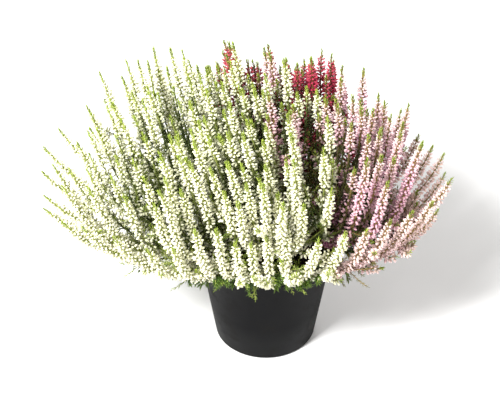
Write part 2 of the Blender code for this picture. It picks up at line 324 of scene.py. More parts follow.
class Finish:
    """A material and the nodes of its pattern."""

    def __init__(self, name, gloss=0.5):
        self.material = bpy.data.materials.new(name)
        self.material.use_nodes = True
        self.tree = self.material.node_tree
        self.shader = self.tree.nodes["Principled BSDF"]
        self.shader.inputs["Specular IOR Level"].default_value = gloss

    def node(self, kind, settings=None, inputs=None, output=0):
        made = self.tree.nodes.new(kind)
        for name, value in (settings or {}).items():
            setattr(made, name, value)
        for name, value in (inputs or {}).items():
            self.feed(made.inputs[name], value)
        return Made(self, made.outputs[output])

    def feed(self, socket, value):
        if isinstance(value, Made):
            self.tree.links.new(value.socket, socket)
        elif socket.type == "RGBA" and len(value) == 3:
            socket.default_value = (*value, 1)
        else:
            socket.default_value = value

    def maths(self, operation, first, second):
        return self.node("ShaderNodeMath", {"operation": operation}, {0: first, 1: second})

    def attribute(self, name):
        return self.node("ShaderNodeAttribute", {"attribute_name": name}, output="Fac")

    def place(self):
        return self.node("ShaderNodeTexCoord", output="Object")

    def noise(self, scale, detail=2.0, roughness=0.5):
        sockets = {"Vector": self.place(), "Scale": scale, "Detail": detail, "Roughness": roughness}
        return self.node("ShaderNodeTexNoise", None, sockets)

    def cells(self, scale):
        return self.node("ShaderNodeTexVoronoi", None, {"Vector": self.place(), "Scale": scale})

    def between(self, value, low, high):
        """The value moved from low..high to 0..1, and kept inside."""
        sockets = {"Value": value, "From Min": low, "From Max": high}
        return self.node("ShaderNodeMapRange", {"interpolation_type": "SMOOTHSTEP"}, sockets)

    def mixed(self, share, first, second, blend="MIX"):
        sockets = {0: share, 6: first, 7: second}
        return self.node("ShaderNodeMix", {"data_type": "RGBA", "blend_type": blend}, sockets, output=2)

    def bump(self, height, distance, strength):
        sockets = {"Height": height, "Distance": distance, "Strength": strength}
        self.feed(self.shader.inputs["Normal"], self.node("ShaderNodeBump", None, sockets))

    def colour(self, value):
        self.feed(self.shader.inputs["Base Color"], value)

    def roughness(self, value):
        self.feed(self.shader.inputs["Roughness"], value)


# Painted shade: the dark green that leaves and stems inside the clump are mixed towards
PAINTED_SHADE_GREEN = (0.012, 0.030, 0.007)

# What each kind of heather is coloured: linear red, green and blue
# One colour of each kind is the painted shade that buds inside the clump are mixed towards.
Kind = namedtuple("Kind", "foot body tip young old deep leaf bract new_leaf bark shoot")
KINDS = {
    "white": Kind(
        foot=(0.50, 0.56, 0.12),
        body=(0.96, 0.94, 0.72),
        tip=(0.98, 0.97, 0.80),
        young=(0.92, 0.93, 0.58),
        old=(0.96, 0.92, 0.78),
        deep=(0.075, 0.095, 0.025),
        leaf=(0.045, 0.135, 0.010),
        bract=(0.38, 0.47, 0.07),
        new_leaf=(0.46, 0.58, 0.07),
        bark=(0.10, 0.065, 0.035),
        shoot=(0.42, 0.48, 0.12),
    ),
    "pink": Kind(
        foot=(0.52, 0.40, 0.22),
        body=(0.75, 0.41, 0.54),
        tip=(0.89, 0.66, 0.72),
        young=(0.88, 0.76, 0.62),
        old=(0.54, 0.15, 0.36),
        deep=(0.15, 0.08, 0.07),
        leaf=(0.055, 0.11, 0.02),
        bract=(0.30, 0.24, 0.06),
        new_leaf=(0.42, 0.54, 0.07),
        bark=(0.10, 0.055, 0.035),
        shoot=(0.30, 0.19, 0.06),
    ),
    "crimson": Kind(
        foot=(0.30, 0.04, 0.05),
        body=(0.40, 0.008, 0.052),
        tip=(0.56, 0.035, 0.115),
        young=(0.50, 0.12, 0.13),
        old=(0.26, 0.004, 0.035),
        deep=(0.07, 0.02, 0.02),
        leaf=(0.05, 0.10, 0.02),
        bract=(0.24, 0.13, 0.05),
        new_leaf=(0.38, 0.50, 0.06),
        bark=(0.09, 0.045, 0.03),
        shoot=(0.28, 0.11, 0.05),
    ),
}


def bud_finish(name, kind):
    """Buds: green at the foot, pale at the tip, younger up the spike and older down it, with painted shade
    inside the clump.
    """
    finish = Finish(f"{name}_buds", 0.35)
    along = finish.attribute("along")
    age = finish.attribute("age")
    tone = finish.attribute("tone")
    petals = finish.mixed(finish.between(age, 0.0, 0.55), kind.old, kind.body)
    petals = finish.mixed(finish.between(age, 0.7, 1.15), petals, kind.young)
    petals = finish.mixed(finish.between(along, 0.55, 1.0) * 0.7, petals, kind.tip)
    petals = finish.mixed(finish.between(along, 0.0, 0.42), kind.foot, petals)
    petals = finish.mixed(0.28 * tone, petals, kind.foot)
    # Painted shade: buds inside the clump are mixed towards a dark colour by their shade
    petals = finish.mixed(0.9 * finish.attribute("shade"), petals, kind.deep)
    shade = finish.between(finish.noise(900, 3), 0.25, 0.75)
    finish.colour(finish.mixed(0.16 * shade, petals, (0.30, 0.26, 0.16), "MULTIPLY"))
    finish.roughness(0.42 + 0.2 * shade)
    finish.bump(finish.noise(1500, 2), 0.0002, 0.4)
    return finish.material


def leaf_finish(name, kind):
    """Needle leaves: dark low down, and yellow-green on this year's growth, with painted shade inside the
    clump.
    """
    finish = Finish(f"{name}_leaves", 0.4)
    tone = finish.attribute("tone")
    age = finish.attribute("age")
    greens = finish.mixed(finish.between(age, 0.0, 0.6), kind.leaf, kind.bract)
    greens = finish.mixed(finish.between(age, 0.7, 1.0), greens, kind.new_leaf)
    greens = finish.mixed(0.4 * tone, greens, (0.11, 0.27, 0.015))
    greens = finish.mixed(0.18 * finish.attribute("along"), greens, kind.new_leaf)
    # Painted shade on the leaves inside the clump
    greens = finish.mixed(0.85 * finish.attribute("shade"), greens, PAINTED_SHADE_GREEN)
    finish.colour(finish.mixed(0.3 * finish.noise(700, 2), greens, (0.25, 0.20, 0.08), "MULTIPLY"))
    finish.roughness(0.40 + 0.25 * finish.noise(500))
    finish.bump(finish.noise(2200, 2), 0.0001, 0.4)
    return finish.material


def stem_finish(name, kind):
    """Stems: brown bark low down, and green or reddish above, with painted shade inside the clump."""
    finish = Finish(f"{name}_stems", 0.3)
    grain = finish.noise(600, 4, 0.6)
    skin = finish.mixed(finish.between(finish.attribute("age"), 0.15, 0.55), kind.bark, kind.shoot)
    # Painted shade on the stems inside the clump
    skin = finish.mixed(0.9 * finish.attribute("shade"), skin, PAINTED_SHADE_GREEN)
    finish.colour(finish.mixed(0.6 * grain, skin, (0.35, 0.28, 0.2), "MULTIPLY"))
    finish.roughness(0.45 + 0.35 * grain)
    finish.bump(grain, 0.0002, 0.6)
    return finish.material


def pot_finish():
    """Matt near-black moulded plastic, finely grained, with a little peat dust."""
    finish = Finish("pot_plastic", 0.05)
    grain = finish.noise(1800, 3, 0.6)
    dust = finish.between(finish.noise(38, 5, 0.65), 0.52, 0.80)
    flow = finish.between(finish.noise(9, 2), 0.3, 0.7)
    plastic = finish.mixed(flow, (0.0030, 0.0030, 0.0036), (0.0060, 0.0062, 0.0066))
    finish.colour(finish.mixed(0.2 * dust, plastic, (0.035, 0.030, 0.024)))
    finish.roughness(0.48 + 0.14 * grain + 0.25 * dust)
    finish.bump(grain, 0.00012, 0.5)
    return finish.material


def soil_finish(name, dark, light):
    """Moist peat: nearly black crumbs with brown fibres."""
    finish = Finish(name, 0.3)
    crumbs = finish.cells(420)
    fibres = finish.noise(260, 6, 0.7)
    peat = finish.mixed(finish.between(fibres, 0.35, 0.7), dark, light)
    finish.colour(finish.mixed(finish.between(crumbs, 0.0, 0.5), (0.010, 0.007, 0.005), peat))
    finish.roughness(0.80 + 0.18 * fibres)
    finish.bump(crumbs + 0.8 * fibres, 0.0012, 0.9)
    return finish.material


def floor_finish():
    """A plain pale floor with a trace of unevenness."""
    finish = Finish("pale_floor")
    cloud = finish.noise(3, 2)
    finish.colour(finish.mixed(cloud, (0.86, 0.86, 0.855), (0.90, 0.90, 0.895)))
    finish.roughness(0.55 + 0.1 * cloud)
    return finish.material


# Shapes that repeat, each modelled once

Shape = namedtuple("Shape", "points faces along")


def deselect():
    for obj in bpy.context.selected_objects:
        obj.select_set(False)


def select(obj, wanted, kind="verts"):
    """In edit mode, selects the vertices, edges or faces for which wanted(element) holds."""
    mode = {"verts": "VERT", "edges": "EDGE", "faces": "FACE"}[kind]
    bpy.ops.mesh.select_mode(type=mode)
    bpy.ops.mesh.select_all(action="DESELECT")
    mesh = bmesh.from_edit_mesh(obj.data)
    for element in getattr(mesh, kind):
        element.select_set(wanted(element))
    mesh.select_flush_mode()
    bmesh.update_edit_mesh(obj.data)


def shape_of(obj):
    """The points and triangles of a modelled object that stands along Z, which is then removed."""
    bpy.ops.object.mode_set(mode="EDIT")
    bpy.ops.mesh.select_all(action="SELECT")
    bpy.ops.mesh.quads_convert_to_tris()
    bpy.ops.object.mode_set(mode="OBJECT")
    points = np.array([v.co for v in obj.data.vertices])
    faces = np.array([p.vertices for p in obj.data.polygons])
    low, high = points[:, 2].min(), points[:, 2].max()
    bpy.data.objects.remove(obj)
    return Shape(points, faces, (points[:, 2] - low) / (high - low))


def bud_shape():
    """A closed four-sided bud, 1 long and about 1 wide, with its foot at the origin."""
    deselect()
    bpy.ops.mesh.primitive_uv_sphere_add(segments=4, ring_count=3, radius=0.5, location=(0, 0, 0.5))
    bud = bpy.context.object
    bpy.ops.object.transform_apply(location=True)
    bpy.ops.object.mode_set(mode="EDIT")
    for low, high, width, lift in ((0.2, 0.3, 1.15, 0.2), (0.7, 0.8, 0.95, 0.06)):
        select(bud, lambda v: low < v.co.z < high)
        bpy.ops.transform.resize(value=(width, width, 1))
        bpy.ops.transform.translate(value=(0, 0, lift))
    bpy.ops.object.mode_set(mode="OBJECT")
    return shape_of(bud)


def leaf_shape():
    """A needle leaf 1 long, foot at the origin: keeled below, and widest a third of the way up."""
    deselect()
    standing_up = {"location": (0, 0, 0.5), "rotation": (0, 0, math.pi / 2)}
    bpy.ops.mesh.primitive_cone_add(vertices=3, radius1=0.5, depth=1, **standing_up)
    leaf = bpy.context.object
    bpy.ops.object.transform_apply(location=True, rotation=True)
    bpy.ops.object.mode_set(mode="EDIT")
    select(leaf, lambda v: v.co.z < 0.1 and v.co.x > 0)
    bpy.ops.transform.translate(value=(0, 0, 0.36))
    select(leaf, lambda v: v.co.x < -0.4)
    bpy.ops.transform.translate(value=(0.5, 0, 0))
    bpy.ops.object.mode_set(mode="OBJECT")
    return shape_of(leaf)


def stem_shape(sides, rings):
    """A straight stem from 0 to 1 up Z, 1 in radius and half that at its tip, in rings that can bend."""
    deselect()
    bpy.ops.mesh.primitive_cylinder_add(vertices=sides, radius=1, depth=1, location=(0, 0, 0.5))
    stem = bpy.context.object
    bpy.ops.object.transform_apply(location=True)
    bpy.ops.object.mode_set(mode="EDIT")
    select(stem, lambda e: abs(e.verts[0].co.z - e.verts[1].co.z) > 0.5, "edges")
    bpy.ops.mesh.subdivide(number_cuts=rings - 1)
    select(stem, lambda v: v.co.z > 0.999)
    bpy.ops.transform.resize(value=(0.5, 0.5, 1))
    bpy.ops.object.mode_set(mode="OBJECT")
    return shape_of(stem)


def crumb_shape():
    """A crumb of peat: an uneven little lump."""
    deselect()
    bpy.ops.mesh.primitive_ico_sphere_add(subdivisions=1, radius=0.5)
    crumb = bpy.context.object
    bpy.ops.object.mode_set(mode="EDIT")
    select(crumb, lambda v: v.co.x > 0.1)
    bpy.ops.transform.resize(value=(0.7, 1.2, 0.8))
    select(crumb, lambda v: v.co.y > 0.2)
    bpy.ops.transform.translate(value=(0, 0.1, 0.08))
    bpy.ops.object.mode_set(mode="OBJECT")
    return shape_of(crumb)


# How the clump grows. A place in the clump is a point (u, v) of the unit disc.


def smooth(share):
    share = min(1.0, max(0.0, share))
    return share * share * (3 - 2 * share)


def eased(share):
    share = min(1.0, max(0.0, share))
    return share * (2 - share)


def between(start, end, part):
    return start[0] + (end[0] - start[0]) * part, start[1] + (end[1] - start[1]) * part


def lean(u, v, share):
    """A shoot's angle from upright: it climbs over the rim, reaches out and then turns up."""
    rho = math.hypot(u, v)
    low = SOIL_LEAN + (RIM_LEAN - SOIL_LEAN) * smooth(share / RIM_SHARE)
    turned = smooth((share - RIM_SHARE) / (TURNED_SHARE - RIM_SHARE))
    sideways = u * u / max(rho * rho, 1e-9)
    side_lean = RIGHT_LEAN if u > 0 else 1.0
    own_lean = FRONT_LEAN if v < 0 else BACK_LEAN
    spread = rho * (own_lean + (side_lean - own_lean) * sideways)
    return spread * (low * (1 - turned) + TIP_LEAN * rho * rho * turned)


def parted(place, free):
    """The place moved aside from the parting that opens in front between the white and the pink shoots."""
    aside = PARTING * free * smooth(-place.y / PARTING_REACH)
    return place + Vector((aside * math.tanh((place.x - PARTING_PLACE) / PARTING_WIDTH), 0, 0))


def grown(u, v, share):
    """Where a shoot at that place in the clump is at that share of its length."""
    rho = math.hypot(u, v)
    length = MIDDLE_LENGTH + (SIDE_LENGTH - MIDDLE_LENGTH) * u * u + (FRONT_LENGTH - MIDDLE_LENGTH) * v * v
    length *= 1 - LEFT_LONGER * u
    out = CLUMP_RADIUS * rho
    up = 0.0
    for k in range(LEAN_STEPS):
        angle = lean(u, v, share * (k + 0.5) / LEAN_STEPS)
        out += math.sin(angle) * length * share / LEAN_STEPS
        up += math.cos(angle) * length * share / LEAN_STEPS
    turn = math.atan2(v, u)
    place = Vector((out * math.cos(turn), out * math.sin(turn), SOIL_TOP + up))
    free = smooth(share / FREE_FROM)
    place.x -= LEFT_DRIFT * up * free
    spot = place * SWAY_SCALE
    sway = Vector([noise.noise(spot + Vector((shift, 0, 0))) for shift in SWAY_SHIFTS])
    return parted(place, free) + sway * SWAY * free


def clump_layout():
    """The place of each spray in the clump, and the places of its spikes' tips, pushed evenly apart."""
    draw = random.Random(SEED)
    bases = []
    tips = []
    for k in range(SPRAY_COUNT):
        rho = OUTERMOST_BASE * math.sqrt((k + 0.5) / SPRAY_COUNT)
        base = Vector((rho * math.cos(k * GOLDEN_ANGLE), rho * math.sin(k * GOLDEN_ANGLE)))
        bases.append(base)
        start = draw.uniform(0, 2 * math.pi)
        for j in range(SPIKES_PER_SPRAY):
            angle = start + 2 * math.pi * j / SPIKES_PER_SPRAY
            tips.append(base + 0.5 * SPIKE_SPACING * Vector((math.cos(angle), math.sin(angle))))
    tips = np.array(tips)
    for _ in range(SPACING_ROUNDS):
        away = tips[:, None] - tips[None]
        gap = np.sqrt((away**2).sum(-1)) + np.eye(len(tips))
        push = np.clip(SPIKE_SPACING - gap, 0, None) / gap
        np.fill_diagonal(push, 0)
        tips += SPACING_PUSH * (away * push[..., None]).sum(1)
        rho = np.sqrt((tips**2).sum(1))
        tips *= (np.minimum(rho, 1.0) / rho)[:, None]
    return bases, tips.reshape(SPRAY_COUNT, SPIKES_PER_SPRAY, 2)


def kind_of(u, v):
    """Crimson at the back, pink on the right and white elsewhere, with two pink sprays among them."""
    for stray_u, stray_v, radius in STRAY_PINKS:
        if math.hypot(u - stray_u, v - stray_v) < radius:
            return "pink"
    if v > CRIMSON_FROM and u > CRIMSON_LEFT:
        return "crimson"
    if u > PINK_FROM:
        return "pink"
    return "white"


def low_turns(bases):
    """The directions of each outer spray's low spikes, spaced evenly round the pot."""
    outer = {k: math.atan2(base.y, base.x) for k, base in enumerate(bases) if base.length > LOW_FROM}
    step = 2 * math.pi / (len(outer) * LOW_PER_SPRAY)
    turn = sum(outer.values()) / len(outer) - math.pi + 0.5 * step
    turns = {}
    for k in sorted(outer, key=outer.get):
        turns[k] = [turn + step * j for j in range(LOW_PER_SPRAY)]
        turn += step * LOW_PER_SPRAY
    return turns


def spike_path(base, tip, branch, end):
    """The points of a spike from where it leaves the spray's stem to its tip."""
    places = []
    for k in range(PATH_STEPS + 1):
        share = branch + (end - branch) * k / PATH_STEPS
        places.append(grown(*between(base, tip, eased((share - branch) / SPREAD_SHARE)), share))
    return places


def low_path(base, stem, turn, length):
    """A low spike: it leaves a spray's stem inside the pot, lies out over the rim and turns up."""
    start = grown(*between(base, stem, eased(LOW_BRANCH / SPREAD_SHARE)), LOW_BRANCH)
    outward = Vector((math.cos(turn), math.sin(turn), 0))
    sideways = outward.x**2
    side_reach = LOW_RIGHT_REACH if outward.x > 0 else LOW_LEFT_REACH
    corner = outward * (LOW_FRONT_REACH + (side_reach - LOW_FRONT_REACH) * sideways)
    corner.z = LOW_HEIGHT
    side_lean = LOW_RIGHT_LEAN if outward.x > 0 else LOW_LEFT_LEAN
    angle = LOW_FRONT_LEAN + (side_lean - LOW_FRONT_LEAN) * sideways
    tip = corner + (outward * math.sin(angle) + Vector((0, 0, math.cos(angle)))) * length
    places = []
    for k in range(PATH_STEPS + 1):
        part = k / PATH_STEPS
        place = start * (1 - part) ** 2 + corner * (2 * part * (1 - part)) + tip * part**2
        places.append(parted(place, part))
    return places


# Upright, and a slant that no stem starts along
UP = np.array((0.0, 0.0, 1.0))
SLANT = np.array((0.31, 0.22, 0.92))


class Line:
    """The middle line of a stem, with the directions along and across it at any distance."""

    def __init__(self, places):
        self.places = np.array(places)
        steps = np.diff(self.places, axis=0)
        lengths = np.sqrt((steps**2).sum(1))
        self.at = np.concatenate([[0.0], np.cumsum(lengths)])
        self.length = self.at[-1]
        ways = steps / lengths[:, None]
        self.ways = unit(np.vstack([ways[:1], ways[:-1] + ways[1:], ways[-1:]]))
        across = np.cross(self.ways[0], SLANT)
        self.across = []
        for way in self.ways:
            across = across - way * (across @ way)
            across /= np.linalg.norm(across)
            self.across.append(across)
        self.across = np.array(self.across)
        self.shades = np.zeros(len(self.places))

    def shade(self, distances):
        """How far inside the clump it is there, from 0 at its outside to 1 in the dark."""
        return np.interp(distances, self.at, self.shades)

    def read(self, rows, distances):
        return np.stack([np.interp(distances, self.at, rows[:, k]) for k in range(3)], axis=1)

    def frames(self, distances):
        """The points at those distances, and the directions along and two ways across."""
        way = unit(self.read(self.ways, distances))
        across = self.read(self.across, distances)
        across = unit(across - way * (across * way).sum(1)[:, None])
        return self.read(self.places, distances), way, across, np.cross(way, across)


class Spike(namedtuple("Spike", "line branch bloom_from low oldest")):
    """A spike: its line, where it branches off and blooms from, if it is low, and its lowest buds' age."""

    def distance(self, share):
        """How far up its line a share of the stem's whole length is."""
        return max(0.0, (share - self.branch) / (1 - self.branch)) * self.line.length


def grow():
    """The kind of each spray and its spikes."""
    draw = random.Random(SEED + 1)
    bases, tips = clump_layout()
    turns = low_turns(bases)
    sprays = []
    for k, (base, own_tips) in enumerate(zip(bases, tips)):
        kind = kind_of(*base)
        spikes = []
        stem = own_tips[0]
        for branch, tip in zip(BRANCH_SHARES, own_tips):
            end = draw.uniform(*SPIKE_ENDS)
            start = between(base, stem, eased(branch / SPREAD_SHARE))
            line = Line(spike_path(start, tip, branch, end))
            bloom_from = BLOOM_FROM + (EDGE_BLOOM_FROM - BLOOM_FROM) * base.length**2
            spikes.append(Spike(line, branch / end, bloom_from, False, 0.0))
            # The CAD draws the turn of the spike's corners here, and this draw keeps in step with it
            draw.uniform(0, 2)
        for turn in turns.get(k, ()):
            line = Line(low_path(base, stem, turn, draw.uniform(*LOW_LENGTH)))
            oldest = PALE_AGE if kind == "pink" else 0.0
            spikes.append(Spike(line, 0.0, LOW_BLOOM_FROM, True, oldest))
        sprays.append((kind, spikes))
    find_shades([spike.line for _, spikes in sprays for spike in spikes])
    return sprays


def find_shades(lines):
    """Sets how far inside the clump each line's points are: the inner ones have others all round."""
    others = np.concatenate([line.places[BARE_STEPS:] for line in lines]).astype(np.float32)
    for line in lines:
        away = others[None] - line.places[:, None].astype(np.float32)
        near = (away**2).sum(-1) < SIGHT**2
        one_sided = np.linalg.norm((away * near[..., None]).sum(1), axis=1) / (near.sum(1) * SIGHT)
        line.shades = smooth_rows((OPEN_SIDED - one_sided) / (OPEN_SIDED - BURIED_SIDED))


# Copies of the shapes, gathered into one mesh a piece


def unit(rows):
    return rows / np.linalg.norm(rows, axis=-1, keepdims=True)


def standing(shape, feet, ups, fronts, sizes):
    """The shape's points for each copy: its foot at feet, its Z along ups and its X towards fronts."""
    ups = unit(ups)
    sides = unit(np.cross(ups, fronts))
    axes = np.stack([np.cross(sides, ups), sides, ups], axis=1)
    return feet[:, None] + (shape.points[None] * sizes[:, None]) @ axes


class Heap:
    """Copies of modelled shapes that become one piece, with what their finish reads at each point."""

    def __init__(self, looks):
        self.looks = looks
        self.points = []
        self.faces = []
        self.slots = []
        self.notes = {"along": [], "tone": [], "age": [], "shade": []}
        self.count = 0

    def add(self, shape, placed, look, tone, age, shade):
        """Adds the copies; tone, age and shade are a row for each copy, of one value or one a corner."""
        copies, corners = placed.shape[:2]
        first = self.count + corners * np.arange(copies)
        self.points.append(placed.reshape(-1, 3))
        self.faces.append((shape.faces[None] + first[:, None, None]).reshape(-1, 3))
        self.slots.append(np.full(copies * len(shape.faces), look))
        self.notes["along"].append(np.tile(shape.along, copies))
        for note, rows in (("tone", tone), ("age", age), ("shade", shade)):
            self.notes[note].append(np.broadcast_to(rows, (copies, corners)).ravel())
        self.count += copies * corners

    def piece(self, name):
        faces = np.concatenate(self.faces).astype(np.int32)
        mesh = bpy.data.meshes.new(name)
        mesh.vertices.add(self.count)
        mesh.vertices.foreach_set("co", np.concatenate(self.points).astype(np.float32).ravel())
        mesh.loops.add(faces.size)
        mesh.loops.foreach_set("vertex_index", faces.ravel())
        mesh.polygons.add(len(faces))
        mesh.polygons.foreach_set("loop_start", np.arange(0, faces.size, 3, dtype=np.int32))
        mesh.polygons.foreach_set("material_index", np.concatenate(self.slots).astype(np.int32))
        for look in self.looks:
            mesh.materials.append(look)
        mesh.update(calc_edges=True)
        mesh.shade_smooth()
        for note, rows in self.notes.items():
            layer = mesh.attributes.new(note, "FLOAT", "POINT")
            layer.data.foreach_set("value", np.concatenate(rows).astype(np.float32))
        obj = bpy.data.objects.new(name, mesh)
        bpy.context.scene.collection.objects.link(obj)
        return obj


def smooth_rows(rows):
    rows = np.clip(rows, 0, 1)
    return rows * rows * (3 - 2 * rows)


def ramp(ends, part):
    """From the first of two values at 0 to the second at 1."""
    return ends[0] + (ends[1] - ends[0]) * part


def ways_out(line, distance, turn):
    """The points of a line at those distances, its direction there, and the ways out at those turns."""
    point, way, across, other = line.frames(distance)
    return point, way, across * np.cos(turn)[:, None] + other * np.sin(turn)[:, None]


def add_stem(heap, shape, line, end, radii, ages):
    """A stem from a line's start to a share of its length, thinner towards its top."""
    distance = end * line.length * shape.along
    point, _, across, other = line.frames(distance)
    ring = across * shape.points[:, :1] + other * shape.points[:, 1:2]
    placed = point + ring * ramp(radii, shape.along)[:, None]
    heap.add(shape, placed[None], 0, 0.0, ramp(ages, shape.along), line.shade(distance))


def add_leaves(heap, shape, line, stretch, leaves, draw):
    """Pairs of needle leaves along a stretch of a line, each pair crossing the one below."""
    start, stop = stretch
    pairs = max(1, int((stop - start) / leaves.pitch))
    count = 2 * pairs
    pair = np.repeat(np.arange(pairs), 2)
    distance = start + (pair + draw.uniform(0, LEAF_PLACE_SPREAD, count)) * (stop - start) / pairs
    turn = np.pi * (np.tile([0, 1], pairs) + 0.5 * pair) + draw.normal(0, LEAF_TURN_SPREAD, count)
    point, way, out = ways_out(line, distance, turn)
    part = (distance - start) / (stop - start)
    closing = smooth_rows((part - LEAVES_CLOSE_FROM) / (1 - LEAVES_CLOSE_FROM))
    rise = ramp((leaves.rise, leaves.top_rise), closing)
    rise = (rise + draw.normal(0, LEAF_RISE_SPREAD, count))[:, None]
    up = out * np.cos(rise) + way * np.sin(rise)
    shade = line.shade(distance)
    size = leaves.length * (1 + draw.normal(0, LEAF_LENGTH_SPREAD, count)) * (1 + BURIED_LEAF * shade)
    size *= 1 - TOP_LEAF_LOSS * smooth_rows((part - LEAVES_SHORTEN_FROM) / (1 - LEAVES_SHORTEN_FROM))
    sizes = np.stack([size * LEAF_DEPTH, size * LEAF_WIDTH, size], axis=1)
    placed = standing(shape, point + out * leaves.stand, up, way, sizes)
    age = ramp(leaves.ages, part)
    tone = draw.uniform(0, 1, count)
    heap.add(shape, placed, 1, tone[:, None], age[:, None], shade[:, None])


def add_buds(heap, shape, line, start, stop, oldest, draw):
    """Whorls of buds along a stretch of a line, fuller below and smaller and steeper near the top."""
    whorls = max(2, round((stop - start) / WHORL_PITCH))
    whorl = np.repeat(np.arange(whorls), BUDS_PER_WHORL)
    count = len(whorl)
    place = whorl + draw.uniform(-BUD_PLACE_SPREAD, BUD_PLACE_SPREAD, count) + 0.5
    distance = start + place * (stop - start) / whorls
    turn = 2 * np.pi * (np.tile(np.arange(BUDS_PER_WHORL), whorls) + 0.5 * whorl) / BUDS_PER_WHORL
    turn = turn + draw.normal(0, BUD_TURN_SPREAD, count)
    point, way, out = ways_out(line, distance, turn)
    age = np.clip((distance - start) / (stop - start), 0, 1)
    near_top = smooth_rows((age - TOP_BUDS_FROM) / (1 - TOP_BUDS_FROM))
    rise = ramp((BUD_RISE, TOP_BUD_RISE), near_top)
    rise = (rise + draw.normal(0, BUD_RISE_SPREAD, count))[:, None]
    up = out * np.cos(rise) + way * np.sin(rise)
    full = ramp((LOW_BUD_SIZE, 1.0), smooth_rows(age / LOW_BUDS_TO)) * (1 - TOP_BUD_LOSS * near_top)
    wide = full * BUD_WIDTH * (1 + draw.normal(0, BUD_WIDTH_SPREAD, count))
    sizes = np.stack([wide, wide, full * draw.uniform(*BUD_LENGTH, count)], axis=1)
    placed = standing(shape, point + out * STEM_TOP, up, way, sizes)
    tone = draw.uniform(0, 1, count) ** 2
    shade = line.shade(distance)
    kept = draw.uniform(0, 1, count) > BURIED_LOSS * shade
    age = ramp((oldest, 1), age)
    heap.add(shape, placed[kept], 0, tone[kept, None], age[kept, None], shade[kept, None])


def shoot_line(line, distance, turn, length):
    """The middle line of a short side shoot that leaves a stem and bends up."""
    point, way, out = (row[0] for row in ways_out(line, np.array([distance]), np.array([turn])))
    start = unit(out * SHOOT_OUT + way * SHOOT_ALONG)
    parts = np.linspace(0, 1, SHOOT_POINTS)[:, None]
    shoot = Line(point + length * (start * parts + UP * SHOOT_BEND * parts**2))
    shoot.shades = line.shade(distance) * ramp((1, TIP_SHADE), parts[:, 0])
    return shoot


def fallen_line(line, distance, turn, length, rise, fall):
    """The middle line of a side shoot that leaves a low spike outward, and falls or turns up."""
    point = line.frames(np.array([distance]))[0][0]
    heading = math.atan2(point[1], point[0]) + turn
    out = np.array((math.cos(heading), math.sin(heading), 0))
    parts = np.linspace(0, 1, SHOOT_POINTS)[:, None]
    upward = UP * (rise * parts - fall * parts**2)
    return Line(point + length * (out * parts * (1 - FALLEN_BEND * parts) + upward))


def add_shoots(greens, shapes, spike, draw):
    """Short leafy shoots on the lower part of a spike, and a low one's tufts, which carry no buds."""
    shoots = []
    for _ in range(SHOOTS_PER_SPIKE):
        distance = max(spike.distance(draw.uniform(SHOOT_FROM, SHOOT_TO)), LOWEST_SHOOT)
        turn = draw.uniform(0, 2 * math.pi)
        line = shoot_line(spike.line, distance, turn, draw.uniform(*SHOOT_LENGTH))
        shoots.append((line, SHOOT_LEAVES))
    for _ in range(TUFTS_PER_SPIKE if spike.low else 0):
        distance = spike.distance(draw.uniform(TUFT_FROM, TUFT_TO))
        turn = draw.uniform(-TUFT_SPREAD, TUFT_SPREAD)
        length = draw.uniform(*TUFT_LENGTH)
        line = fallen_line(spike.line, distance, turn, length, TUFT_RISE, draw.uniform(*TUFT_FALL))
        shoots.append((line, TUFT_LEAVES))
    for line, leaves in shoots:
        add_stem(greens, shapes["twig"], line, TWIG_END, SHOOT_RADII, SHOOT_AGES)
        add_leaves(greens, shapes["leaf"], line, (LEAF_INSET, line.length), leaves, draw)


def add_sprigs(greens, buds, shapes, spike, draw):
    """Short flowering sprigs: one half way up each spike, and more on a low one near the rim."""
    distance = spike.distance(draw.uniform(SIDE_SPRIG_FROM, SIDE_SPRIG_TO))
    turn = draw.uniform(0, 2 * math.pi)
    lines = [shoot_line(spike.line, distance, turn, draw.uniform(*SIDE_SPRIG_LENGTH))]
    for _ in range(SPRIGS_PER_LOW_SPIKE if spike.low else 0):
        distance = spike.distance(draw.uniform(SPRIG_FROM, SPRIG_TO))
        length = draw.uniform(*SPRIG_LENGTH)
        turn = draw.uniform(-SPRIG_SPREAD, SPRIG_SPREAD)
        rise = draw.uniform(*SPRIG_RISE)
        lines.append(fallen_line(spike.line, distance, turn, length, rise, -draw.uniform(*SPRIG_TURN_UP)))
    leaf = shapes["leaf"]
    for line in lines:
        bloom = SPRIG_BLOOM_FROM * line.length
        top = SPRIG_BLOOM_TO * line.length
        add_stem(greens, shapes["twig"], line, TWIG_END, SPRIG_RADII, SPRIG_AGES)
        add_leaves(greens, leaf, line, (LEAF_INSET, bloom), SPRIG_LEAVES, draw)
        add_leaves(greens, leaf, line, (bloom, top), BRACTS, draw)
        add_leaves(greens, leaf, line, (top, line.length), TIP_LEAVES, draw)
        add_buds(buds, shapes["bud"], line, bloom, top, spike.oldest, draw)


def add_spike(greens, buds, shapes, spike, draw):
    """A spike: its stem, its leafy lower part, its buds with small leaves between, and its green tip."""
    line = spike.line
    leaf = shapes["leaf"]
    spread = LOW_BLOOM_SPREAD if spike.low else 0.0
    bloom = spike.distance(spike.bloom_from + draw.uniform(-spread, spread))
    top = spike.distance(BLOOM_TO)
    foot = STEM_FOOT if spike.branch == 0 and not spike.low else BRANCH_FOOT
    leafy = max(spike.distance(LEAFY_FROM), LOWEST_LEAF)
    add_stem(greens, shapes["stem"], line, STEM_END, (foot, STEM_TOP), (spike.branch, 1.0))
    add_leaves(greens, leaf, line, (leafy, bloom), STEM_LEAVES, draw)
    add_leaves(greens, leaf, line, (bloom, top), BRACTS, draw)
    add_leaves(greens, leaf, line, (top - TIP_OVERLAP, line.length - LEAF_INSET), TIP_LEAVES, draw)
    add_shoots(greens, shapes, spike, draw)
    add_sprigs(greens, buds, shapes, spike, draw)
    add_buds(buds, shapes["bud"], line, bloom, top, spike.oldest, draw)


